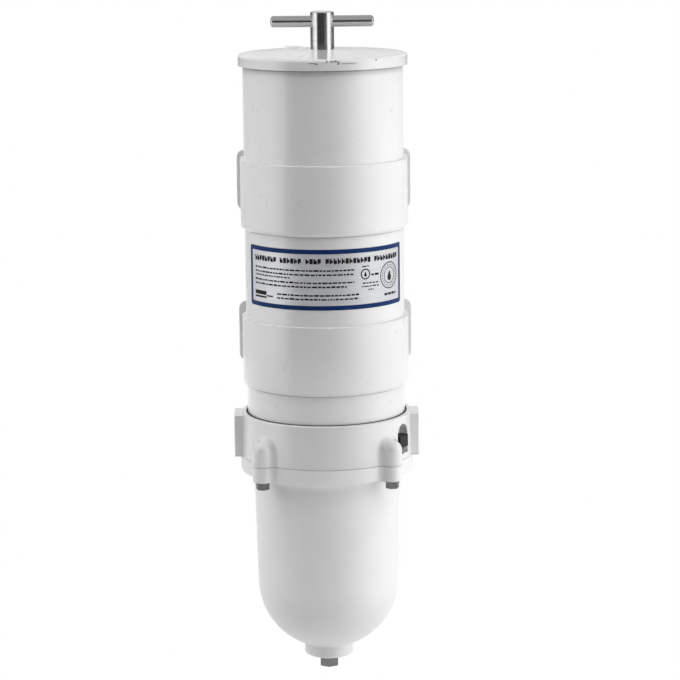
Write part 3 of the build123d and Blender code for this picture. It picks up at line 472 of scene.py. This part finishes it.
def thread_mesh(shape, middle, low_z, high_z, major_r, depth, pitch, columns=40):
    """Adds a closed rod with an outer screw thread that runs out at both ends."""
    rows = int((high_z - low_z) / pitch * thread_steps_per_pitch)
    rings = []
    for row in range(rows + 1):
        z = low_z + (high_z - low_z) * row / rows
        fade = min(1.0, (z - low_z) / pitch, (high_z - z) / pitch)
        ring = []
        for column in range(columns):
            angle = 2 * pi * column / columns
            radius = major_r - depth * (1 - thread_wave(angle, z - low_z, pitch) * fade)
            ring.append(shape.verts.new((middle.x + radius * cos(angle), middle.y + radius * sin(angle), z)))
        rings.append(ring)
    for lower, upper in zip(rings, rings[1:]):
        for column in range(columns):
            beside = (column + 1) % columns
            shape.faces.new((lower[column], lower[beside], upper[beside], upper[column]))
    shape.faces.new(rings[0][::-1])
    shape.faces.new(rings[-1])


def with_thread(node_name, body, material, low_z, high_z, shank_r, depth, pitch):
    """Stands in for a CAD piece: the same shape, with a real thread in place of its smooth shank."""
    node = nodes[node_name]
    low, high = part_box(node_name)
    middle = (low + high) / 2
    shape = bmesh.new()
    shape.from_mesh(node.data)
    shank = [
        face
        for face in shape.faces
        if low_z - face_gap < face.calc_center_median().z < high_z - face_gap
        and max((vert.co - middle).xy.length for vert in face.verts) < shank_r + face_gap
    ]
    bmesh.ops.delete(shape, geom=shank, context="FACES")
    thread_mesh(shape, middle, low_z, high_z, shank_r, depth, pitch)
    data = bpy.data.meshes.new(node_name + "_threaded")
    shape.to_mesh(data)
    shape.free()
    for face in data.polygons:
        face.use_smooth = True
    data.set_sharp_from_angle(angle=sharp_angle)
    piece = bpy.data.objects.new(node_name + "_threaded", data)
    bpy.context.scene.collection.objects.link(piece)
    paint(piece, material)
    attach(piece, body)
    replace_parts(piece, node_name)


def port_thread(name, side):
    """Thread ridges inside one port, as a thin closed sleeve whose outside is sunk in the casting."""
    outer_x = port_face_x - port_chamfer
    inner_x = outer_x - port_thread_length
    rows = int(port_thread_length / port_pitch * thread_steps_per_pitch)
    columns = port_columns
    turns = [2 * pi * column / columns for column in range(columns)]

    def inside_port(x, radius, angle):
        return Vector((side * x, axis_y + side * radius * cos(angle), port_z + radius * sin(angle)))

    points = []
    for row in range(rows + 1):
        x = outer_x - port_thread_length * row / rows
        fade = min(1.0, (outer_x - x) / port_pitch, (x - inner_x) / port_pitch)
        for angle in turns:
            ridge = port_thread_depth * thread_wave(angle, x, port_pitch) * fade
            points.append(inside_port(x, port_r + port_clearance - ridge, angle))
    for x in (outer_x, inner_x):
        points += [inside_port(x, port_r + port_sink, angle) for angle in turns]
    faces = []
    for row in range(rows):
        for column in range(columns):
            beside = (column + 1) % columns
            first = row * columns
            faces.append((first + column, first + beside, first + columns + beside, first + columns + column))
    outside = (rows + 1) * columns
    for column in range(columns):
        beside = (column + 1) % columns
        inner_row = rows * columns
        faces.append((column, beside, outside + beside, outside + column))
        faces.append((outside + column, outside + beside, outside + columns + beside, outside + columns + column))
        far = outside + columns
        faces.append((far + column, far + beside, inner_row + beside, inner_row + column))
    sleeve = add_mesh(name, points, faces)
    sleeve.data.set_sharp_from_angle(angle=sharp_angle)
    paint(sleeve, cast_enamel)
    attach(sleeve, "housing")


with_thread(
    "t_handle_stem",
    "t_handle",
    polished_steel,
    low_z=stem_low.z,
    high_z=lid_high.z,
    shank_r=7.93 * mm,
    depth=0.75 * mm,
    pitch=1.41 * mm,
)
with_thread(
    "drain_plug",
    "drain",
    shaded_drain_steel,
    low_z=plug_low.z + drain_hex_height,
    high_z=plug_high.z,
    shank_r=6.33 * mm,
    depth=0.6 * mm,
    pitch=1.27 * mm,
)
port_thread("outlet_thread", 1)
port_thread("inlet_thread", -1)


# Label print

ink_thickness = 0.05 * mm


class Print:
    """Collects thin patches of ink on the label into one mesh."""

    def __init__(self, name, material, depth=ink_thickness):
        self.name = name
        self.material = material
        self.depth = depth
        self.points = []
        self.faces = []

    def grid(self, rows, lift=ink_thickness, closed=False):
        """Adds a closed thin sheet over a grid of (arc, z) points, joined end to end if closed."""
        height = len(rows)
        width = len(rows[0])
        start = len(self.points)
        for radius in (label_r + lift, label_r - self.depth):
            for row in rows:
                for arc, z in row:
                    self.points.append(around((arc + print_shift) / label_r, radius, z))
        layer = height * width

        def at(level, row, column):
            return start + level * layer + row * width + column % width

        last = width if closed else width - 1
        for row in range(height - 1):
            for column in range(last):
                for level in (0, 1):
                    corners = (
                        at(level, row, column),
                        at(level, row, column + 1),
                        at(level, row + 1, column + 1),
                        at(level, row + 1, column),
                    )
                    self.faces.append(corners if level == 0 else corners[::-1])
        for row in (0, height - 1):
            for column in range(last):
                self.faces.append(
                    (at(0, row, column), at(0, row, column + 1), at(1, row, column + 1), at(1, row, column))
                )
        if not closed:
            for column in (0, width - 1):
                for row in range(height - 1):
                    self.faces.append(
                        (at(0, row, column), at(0, row + 1, column), at(1, row + 1, column), at(1, row, column))
                    )

    def bar(self, left, right, low, high, step=0.0025):
        """Adds a level bar, cut into short spans so that it follows the tube."""
        spans = max(1, int((right - left) / step))
        arcs = [left + (right - left) * span / spans for span in range(spans + 1)]
        self.grid([[(arc, z) for arc in arcs] for z in (low, high)])

    def ring(self, arc, z, radius, width, columns=48):
        """Adds a ring."""
        rows = []
        for reach in (radius - width / 2, radius + width / 2):
            turn = [2 * pi * column / columns for column in range(columns)]
            rows.append([(arc + reach * cos(angle), z + reach * sin(angle)) for angle in turn])
        self.grid(rows, closed=True)

    def drop(self, arc, z, size, columns=28):
        """Adds a drop of liquid, pointed at its top."""
        breadth, taper, sag = 0.78, 1.6, 0.3
        outer = []
        for column in range(columns):
            angle = 2 * pi * column / columns
            narrow = sin(angle / 2) ** taper
            outer.append((arc + size * breadth * sin(angle) * narrow, z + size * cos(angle)))
        inner = [(arc, z - size * sag)] * columns
        self.grid([inner, outer], closed=True)

    def piece(self):
        """Makes the mesh object, which rides on the housing."""
        made = add_mesh(self.name, self.points, self.faces, smooth=False)
        paint(made, self.material)
        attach(made, "housing")
        return made


def words(rng, total):
    """Start and end of word-like bars that fill a total length."""
    found = []
    at = 0.0
    while at < total:
        length = min(rng.uniform(shortest_word, longest_word), total - at)
        found.append((at, at + length))
        at += length + word_gap
    return found


# Label plan: arcs are measured from the front towards +X, heights from the mounting centre.
# The sheet is a little taller than the CAD label, and all of the print is shifted along it.
label_half_arc = label_r * radians(67.5)
label_growth = 1.7 * mm
label_spans = 64
print_shift = 1.1 * mm
border_width = 3.7 * mm
border_margin = 0.1 * mm
border_corner_radii = (2.4 * mm, 1.2 * mm)
border_corner_steps = 6
border_long_spans = 56
border_short_spans = 4
title_z = 17.2 * mm
title_height = 4.3 * mm
title_word_lengths = (8, 6, 4, 12, 9)
title_arcs = (-70.0 * mm, 71.5 * mm)
letter_edges = (0.04, 0.44, 0.88)
shortest_word = 1.2 * mm
longest_word = 4.6 * mm
word_gap = 0.75 * mm

# Rows of small print: left end, right end, height of the middle, height of the letters
small_rows = (
    (-69.5, 23.0, 9.5, 1.25),
    (-69.5, 22.5, 6.0, 1.25),
    (-69.7, -31.0, 3.2, 1.1),
    (-69.8, 23.0, -0.6, 1.25),
    (-69.9, 16.7, -4.0, 1.25),
    (-43.4, 27.1, -11.0, 1.25),
    (-43.4, 27.1, -14.2, 1.25),
    (30.8, 47.0, -2.2, 1.0),
    (30.0, 47.5, -4.9, 1.0),
    (36.0, 41.5, -7.7, 0.9),
    (53.3, 68.7, -13.7, 2.0),
    (38.8, 46.6, 4.3, 1.5),
    (30.2, 36.6, 11.6, 0.9),
)

# Bars of the plain mark: left end, right end, low and high
mark_bars = (
    (-70.2, -55.2, -15.7, -14.2),
    (-70.2, -55.2, -13.2, -9.9),
    (-54.6, -47.8, -14.2, -13.0),
)

# Round marks: the arc and height of their middles, their rings' radii and widths, and their drops
small_mark = (33.3 * mm, 5.3 * mm)
small_mark_rings = ((4.0 * mm, 1.0 * mm),)
small_mark_drop = 2.2 * mm
large_mark = (59.7 * mm, 1.7 * mm)
large_mark_rings = ((10.8 * mm, 0.85 * mm), (6.6 * mm, 0.6 * mm))
large_mark_drop = 4.4 * mm
dot_count = 24
dot_circle_r = 8.6 * mm
dot_half_size = 0.45 * mm


def print_label():
    """Border, greeked lines and plain round marks on the label foil."""
    rng = random.Random(4)
    sheet = Print("label_foil_sheet", label_foil, label_r - tube_r + ink_thickness)
    half_height = label_half_height + label_growth
    heights = [label_middle_z - half_height, label_middle_z + half_height]
    arcs = [label_half_arc * (2 * step / label_spans - 1) for step in range(label_spans + 1)]
    sheet.grid([[(arc, z) for arc in arcs] for z in heights], 0.0)
    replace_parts(sheet.piece(), "label")
    border = Print("label_border", blue_ink)
    outer_half_arc = label_half_arc - border_margin
    outer_half_height = half_height - border_margin
    loops = []
    for inset, corner_r in zip((0.0, border_width), border_corner_radii):
        loop = []
        half_arc = outer_half_arc - inset
        half_height = outer_half_height - inset
        corners = ((1, 1), (-1, 1), (-1, -1), (1, -1))
        for number, (side, up) in enumerate(corners):
            for step in range(border_corner_steps + 1):
                angle = radians(90 * (number + step / border_corner_steps))
                arc = side * (half_arc - corner_r) + corner_r * cos(angle)
                z = up * (half_height - corner_r) + corner_r * sin(angle)
                loop.append((arc, label_middle_z + z))
            next_side, next_up = corners[(number + 1) % 4]
            spans = border_long_spans if up == next_up else border_short_spans
            start_arc, start_z = loop[-1]
            angle = radians(90 * (number + 1))
            end_arc = next_side * (half_arc - corner_r) + corner_r * cos(angle)
            end_z = label_middle_z + next_up * (half_height - corner_r) + corner_r * sin(angle)
            for span in range(1, spans):
                along = span / spans
                loop.append((start_arc + (end_arc - start_arc) * along, start_z + (end_z - start_z) * along))
        loops.append(loop)
    border.grid(loops, closed=True)
    border.piece()

    title = Print("label_title", black_ink)
    letters = sum(title_word_lengths) + len(title_word_lengths) - 1
    pitch = (title_arcs[1] - title_arcs[0]) / letters
    at = title_arcs[0]
    for length in title_word_lengths:
        for letter in range(length):
            left, middle, right = (at + (letter + edge) * pitch for edge in letter_edges)
            title.bar(left, middle, title_z - title_height / 2, title_z + title_height / 2)
            low = title_z - title_height * rng.choice((0.5, 0.3))
            high = title_z + title_height * rng.choice((0.5, 0.2))
            title.bar(middle, right, low, high)
        at += (length + 1) * pitch
    title.piece()

    small = Print("label_small_print", black_ink)
    for left, right, middle, height in small_rows:
        for start, end in words(rng, (right - left) * mm):
            low = (middle - height / 2) * mm
            small.bar(left * mm + start, left * mm + end, low, low + height * mm * rng.uniform(0.9, 1.2))
    small.piece()

    marks = Print("label_marks", black_ink)
    for bar in mark_bars:
        marks.bar(*(edge * mm for edge in bar))
    for radius, width in small_mark_rings:
        marks.ring(*small_mark, radius, width)
    marks.drop(*small_mark, small_mark_drop)
    for radius, width in large_mark_rings:
        marks.ring(*large_mark, radius, width)
    for dot in range(dot_count):
        angle = 2 * pi * dot / dot_count
        arc = large_mark[0] + dot_circle_r * cos(angle)
        z = large_mark[1] + dot_circle_r * sin(angle)
        marks.bar(arc - dot_half_size, arc + dot_half_size, z - dot_half_size, z + dot_half_size)
    marks.drop(*large_mark, large_mark_drop)
    marks.piece()


print_label()


# Studio


def square(half_size):
    """Corners of a level square round the middle."""
    return [(-half_size, -half_size), (half_size, -half_size), (half_size, half_size), (-half_size, half_size)]


def glow_material(name):
    """Material that only glows. Returns it with its emission node."""
    material = bpy.data.materials.new(name)
    material.use_nodes = True
    tree = material.node_tree
    tree.nodes.clear()
    light = add_node(tree, "Emission", {"Color": grey(1.0)})
    output = tree.nodes.new("ShaderNodeOutputMaterial")
    tree.links.new(light.outputs["Emission"], output.inputs["Surface"])
    return material, light


def wall_level(glow, angle):
    """Brightness at an angle in degrees, eased between (angle, brightness) pairs."""
    for (start, first), (end, second) in zip(glow, glow[1:]):
        if start <= angle <= end:
            along = (angle - start) / (end - start)
            return first + (second - first) * along * along * (3 - 2 * along)
    return glow[-1][1]


def studio_wall(radius, rows):
    """Round wall of soft light and shade that is seen only in reflections, from rows of (height, glow)."""
    columns = 240
    points = []
    levels = []
    for z, glow in rows:
        for column in range(columns):
            angle = -180 + 360 * column / columns
            points.append(around(radians(angle), radius, z))
            levels.append(wall_level(glow, angle))
    faces = []
    for row in range(len(rows) - 1):
        for column in range(columns):
            beside = (column + 1) % columns
            first = row * columns
            faces.append((first + column, first + beside, first + columns + beside, first + columns + column))
    wall = add_mesh("studio_wall", points, faces)
    attribute = wall.data.attributes.new("glow", "FLOAT", "POINT")
    for index, level in enumerate(levels):
        attribute.data[index].value = level
    material, light = glow_material("studio_wall")
    tree = material.node_tree
    brightness = add_node(tree, "Attribute", {}, attribute_name="glow").outputs["Fac"]
    tree.links.new(brightness, light.inputs["Strength"])
    paint(wall, material)
    only_in_reflections(wall)


def only_in_reflections(piece):
    """Hides a stage piece from the camera and from all light but reflections."""
    piece.visible_camera = False
    piece.visible_diffuse = False
    piece.visible_shadow = False
    piece.visible_transmission = False
    piece.visible_volume_scatter = False


def ceiling(half_size, z, brightness):
    """Level card above the object that is seen only in reflections."""
    corners = square(half_size)
    card = add_mesh("studio_ceiling", [Vector((x, axis_y + y, z)) for x, y in corners], [(0, 1, 2, 3)])
    material, light = glow_material("studio_ceiling")
    light.inputs["Strength"].default_value = brightness
    paint(card, material)
    only_in_reflections(card)


def area_lamp(name, angle, rise, distance, width, height, radiance):
    """Rectangular soft lamp, turned towards the filter. Its angles are round the filter and above the level,
    in degrees. Reflections don't show it."""
    lamp = bpy.data.lights.new(name, "AREA")
    lamp.shape = "RECTANGLE"
    lamp.size = width
    lamp.size_y = height
    lamp.energy = radiance * pi * width * height
    holder = bpy.data.objects.new(name, lamp)
    aim = around(0, 0, lamp_aim_z)
    height_above = distance * sin(radians(rise))
    holder.location = around(radians(angle), distance * cos(radians(rise)), lamp_aim_z + height_above)
    holder.rotation_euler = (aim - holder.location).to_track_quat("-Z", "Y").to_euler()
    holder.visible_glossy = False
    bpy.context.scene.collection.objects.link(holder)


def seen_rays(tree):
    """1 for what the camera sees directly, in a reflection or through glass, and 0 for the light on the object."""
    path = add_node(tree, "LightPath", {})
    seen = maths(tree, "MAXIMUM", path.outputs["Is Camera Ray"], path.outputs["Is Glossy Ray"])
    return maths(tree, "MAXIMUM", seen, path.outputs["Is Transmission Ray"])


def floor_and_world(floor_z, half_size, ambient):
    """Pale floor that keeps shadows but reads as white, and a white background."""
    floor = add_mesh("floor", [Vector((x, y, floor_z)) for x, y in square(half_size)], [(0, 1, 2, 3)])
    material, tree, shader = new_material("floor")
    shader.inputs["Base Color"].default_value = grey(0.82)
    shader.inputs["Roughness"].default_value = 0.9
    shader.inputs["Specular IOR Level"].default_value = 0.0
    glow = add_node(tree, "Emission", {"Color": grey(1.0), "Strength": 1.0})
    share = spread(tree, length_of(tree, row_place(tree)), shadow_end, white_start, shadow_glow, 1.0)
    blend = add_node(tree, "MixShader", {0: maths(tree, "MULTIPLY", seen_rays(tree), share)})
    tree.links.new(shader.outputs["BSDF"], blend.inputs[1])
    tree.links.new(glow.outputs["Emission"], blend.inputs[2])
    tree.links.new(blend.outputs["Shader"], tree.nodes["Material Output"].inputs["Surface"])
    paint(floor, material)

    world = bpy.data.worlds.new("studio")
    bpy.context.scene.world = world
    world.use_nodes = True
    tree = world.node_tree
    background = tree.nodes["Background"]
    background.inputs["Color"].default_value = grey(1.0)
    tree.links.new(spread(tree, seen_rays(tree), 0.0, 1.0, ambient, 1.0), background.inputs["Strength"])


# The floor glows in part up to shadow_end from the frame's origin, so that shadows show there, and in full from
# white_start on
floor_z = cad_low.z - 0.30
shadow_end = 0.82
white_start = 1.0
shadow_glow = 0.72
floor_and_world(floor_z, half_size=12.0, ambient=0.05)

# Lamps: name, angle, rise, distance, width, height and radiance
lamp_aim_z = -0.05
lamps = (
    ("lamp_right", 75, 0, 1.6, 1.6, 1.6, 1.85),
    ("lamp_right_middle", 75, 30, 1.6, 1.6, 1.6, 0.95),
    ("lamp_right_high", 75, 50, 1.6, 1.6, 1.6, 0.3),
    ("lamp_left", -85, 30, 1.6, 1.6, 1.6, 1.8),
    ("lamp_left_high", -85, 50, 1.6, 1.6, 1.6, 0.42),
    ("lamp_high_front", 45, 50, 1.7, 0.9, 0.9, 1.9),
    ("lamp_high_right", 90, 60, 1.7, 0.9, 0.9, 1.2),
    ("lamp_high_left", -90, 60, 1.7, 0.9, 0.9, 1.5),
    ("lamp_back", 180, 20, 1.8, 1.6, 1.6, 0.9),
)
for lamp_values in lamps:
    area_lamp(*lamp_values)

# Brightness of the studio wall by angle from the front towards +X: what the polished handle mirrors,
# above it what the lid's top mirrors, and below it what the housing mirrors
handle_glow = (
    (-180, 0.62), (-168, 0.56), (-156, 0.08), (-116, 0.12), (-86, 0.95), (-74, 1.3), (-60, 1.2),
    (-46, 0.1), (-36, 0.06), (26, 0.07), (42, 0.12), (57, 1.5), (74, 1.6), (86, 1.1),
    (97, 0.2), (110, 0.06), (156, 0.08), (168, 0.56), (180, 0.62),
)
lid_glow = (
    (-180, 0.75), (-110, 0.75), (-86, 0.95), (-74, 1.3), (-60, 1.2), (-46, 0.1),
    (42, 0.12), (57, 1.5), (74, 1.6), (86, 1.1), (110, 0.75), (180, 0.75),
)
housing_glow = (
    (-180, 0.8), (-165, 0.71), (-140, 0.62), (-122, 0.79), (-107, 0.89), (-92, 1.2), (-77, 1.6),
    (-62, 1.45), (-47, 0.1), (-34, 0.0), (12, 0.0), (28, 0.3), (44, 0.8), (60, 1.05),
    (90, 1.15), (105, 1.15), (140, 0.9), (180, 0.8),
)
wall_r = 3.0
ceiling_z = 1.6
wall_rows = (
    (floor_z, housing_glow),
    (-0.10, housing_glow),
    (-0.05, handle_glow),
    (0.25, handle_glow),
    (0.35, lid_glow),
    (ceiling_z, lid_glow),
)
studio_wall(wall_r, wall_rows)
ceiling(wall_r, ceiling_z, brightness=0.6)

# Camera at the photograph's place
camera_point = Vector((-0.0069, -2.3125, 0.3532))
camera_pitch = radians(10.52)
camera_yaw = radians(0.487)
camera_roll = radians(-0.60)
focal_length_in_pixels = 2690
image_width = 680
sensor_width = 36.0

camera = bpy.data.objects.new("camera", bpy.data.cameras.new("camera"))
camera.data.sensor_width = sensor_width
camera.data.lens = focal_length_in_pixels * sensor_width / image_width
turn = Matrix.Rotation(-camera_yaw, 4, "Z")
tilt = Matrix.Rotation(pi / 2 - camera_pitch, 4, "X")
roll = Matrix.Rotation(camera_roll, 4, "Z")
camera.matrix_world = Matrix.Translation(camera_point) @ turn @ tilt @ roll
bpy.context.scene.collection.objects.link(camera)
bpy.context.scene.camera = camera
bpy.context.scene.view_settings.view_transform = "Standard"
